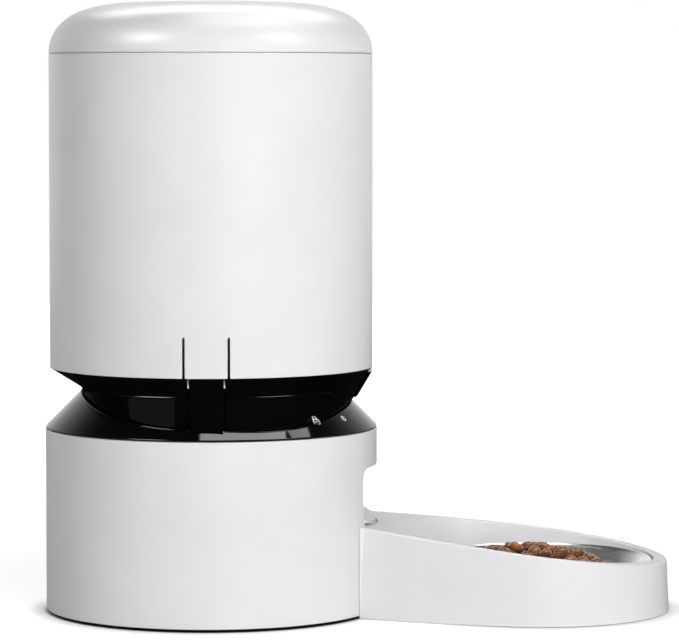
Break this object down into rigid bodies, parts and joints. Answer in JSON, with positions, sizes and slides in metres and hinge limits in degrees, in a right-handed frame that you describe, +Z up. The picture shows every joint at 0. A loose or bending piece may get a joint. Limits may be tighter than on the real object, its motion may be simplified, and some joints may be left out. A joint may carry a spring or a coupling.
{
  "type": "automatic pet feeder",
  "caption": "Free-standing dry-food dispenser: round motor base, lift-off hopper with lid, chute and a tray holding a steel bowl.",
  "frame": {"origin": "on the floor, under the middle of the whole feeder", "axes": "+X from the hopper towards the bowl, +Z up, +Y to the feeder's left"},
  "size_m": [0.377, 0.2, 0.3669],
  "materials": {
    "white_abs": "satin white moulded ABS",
    "white_inner": "plain white moulded plastic",
    "black_gloss": "piano-black gloss ABS",
    "smoked_lens": "smoked gloss lens",
    "grey_rubber": "soft grey rubber",
    "silicone": "translucent grey silicone",
    "rotor_plastic": "light grey food-safe plastic",
    "screw_steel": "zinc-plated steel",
    "circuit_board": "green solder mask",
    "black_parts": "black moulded components",
    "gear_acetal": "natural acetal",
    "gearbox_plastic": "black glass-filled nylon",
    "motor_steel": "plated steel",
    "brass": "turned brass",
    "cell_can": "printed cell sleeve, plain",
    "contact_plate": "nickel-plated spring steel",
    "desiccant_paper": "non-woven desiccant sachet",
    "stainless": "satin stainless steel"
  },
  "bodies": {
    "base": {"base_shell": "white_abs", "base_plate": "white_inner", "rubber_feet": "grey_rubber", "base_screws": "screw_steel", "control_deck": "black_gloss", "deck_screws": "screw_steel", "display_window": "smoked_lens", "touch_board": "circuit_board", "food_chute": "white_inner", "jam_sensors": "black_parts", "battery_bay": "white_inner", "battery_cells": "cell_can", "battery_contacts": "contact_plate", "power_inlet": "black_parts", "main_board": "circuit_board", "board_components": "black_parts", "gearbox_case": "gearbox_plastic", "gearbox_cover": "gearbox_plastic", "gearbox_screws": "screw_steel", "motor_can": "motor_steel", "motor_gearhead": "motor_steel", "idler_axle": "motor_steel", "output_bushing": "brass"},
    "battery_door": {"battery_door": "white_inner"},
    "motor": {"motor_armature": "motor_steel", "motor_shaft": "motor_steel", "motor_pinion": "gear_acetal"},
    "idler": {"idler_gear": "gear_acetal"},
    "output": {"output_gear": "gear_acetal", "drive_shaft": "gear_acetal"},
    "hopper": {"hopper_shell": "white_abs", "hopper_collar": "black_gloss", "front_badge": "smoked_lens", "hopper_funnel": "white_inner", "outlet_shield": "silicone"},
    "rotor": {"feed_rotor": "rotor_plastic", "rotor_wipers": "silicone", "stirrer": "rotor_plastic"},
    "release_right": {"release_tab_right": "white_abs", "latch_arm_right": "black_gloss"},
    "release_left": {"release_tab_left": "white_abs", "latch_arm_left": "black_gloss"},
    "lid": {"lid_shell": "white_abs", "lid_cap": "white_abs", "lid_liner": "white_inner", "lid_seal": "silicone", "desiccant_box": "white_inner", "desiccant_bag": "desiccant_paper"},
    "desiccant_cover": {"desiccant_cover": "white_inner"},
    "tray": {"food_tray": "white_abs", "tray_pads": "grey_rubber"},
    "bowl": {"steel_bowl": "stainless"}
  },
  "joints": [
    {"name": "output_turn", "type": "hinge", "parent": "base", "child": "output", "pos_m": [-0.0885, 0, 0.09], "axis": [0, 0, 1], "continuous": true},
    {"name": "idler_turn", "type": "hinge", "parent": "base", "child": "idler", "pos_m": [-0.1083, 0.0198, 0.085], "axis": [0, 0, 1], "continuous": true},
    {"name": "motor_turn", "type": "hinge", "parent": "base", "child": "motor", "pos_m": [-0.1299, 0.0198, 0.07], "axis": [0, 0, 1], "continuous": true},
    {"name": "battery_door_swing", "type": "hinge", "parent": "base", "child": "battery_door", "pos_m": [-0.165, 0, 0.003], "axis": [0, 1, 0], "range_deg": [0, 70]},
    {"name": "hopper_lift", "type": "slide", "parent": "base", "child": "hopper", "axis": [0, 0, 1], "range_m": [0, 0.08]},
    {"name": "rotor_turn", "type": "hinge", "parent": "hopper", "child": "rotor", "pos_m": [-0.0885, 0, 0.11], "axis": [0, 0, 1], "continuous": true},
    {"name": "release_right_press", "type": "hinge", "parent": "hopper", "child": "release_right", "pos_m": [-0.0881, -0.096, 0.17085], "axis": [1, 0, 0], "range_deg": [0, 3], "stiffness_Nm_per_rad": 0.6, "springref_deg": -2.29},
    {"name": "release_left_press", "type": "hinge", "parent": "hopper", "child": "release_left", "pos_m": [-0.0881, 0.096, 0.17085], "axis": [-1, 0, 0], "range_deg": [0, 3], "stiffness_Nm_per_rad": 0.6, "springref_deg": -2.29},
    {"name": "lid_lift", "type": "slide", "parent": "hopper", "child": "lid", "axis": [0, 0, 1], "range_m": [0, 0.06]},
    {"name": "desiccant_cover_twist", "type": "hinge", "parent": "lid", "child": "desiccant_cover", "pos_m": [-0.0885, 0, 0.318], "axis": [0, 0, 1], "range_deg": [0, 25]},
    {"name": "tray_pull", "type": "slide", "parent": "base", "child": "tray", "axis": [1, 0, 0], "range_m": [0, 0.06]},
    {"name": "bowl_lift", "type": "slide", "parent": "tray", "child": "bowl", "axis": [0, 0, 1], "range_m": [0, 0.05]}
  ],
  "couplings": [
    {"joint": "idler_turn", "follows": "output_turn", "ratio": -2.5},
    {"joint": "motor_turn", "follows": "output_turn", "ratio": 7.1429},
    {"joint": "rotor_turn", "follows": "output_turn", "ratio": 1}
  ]
}
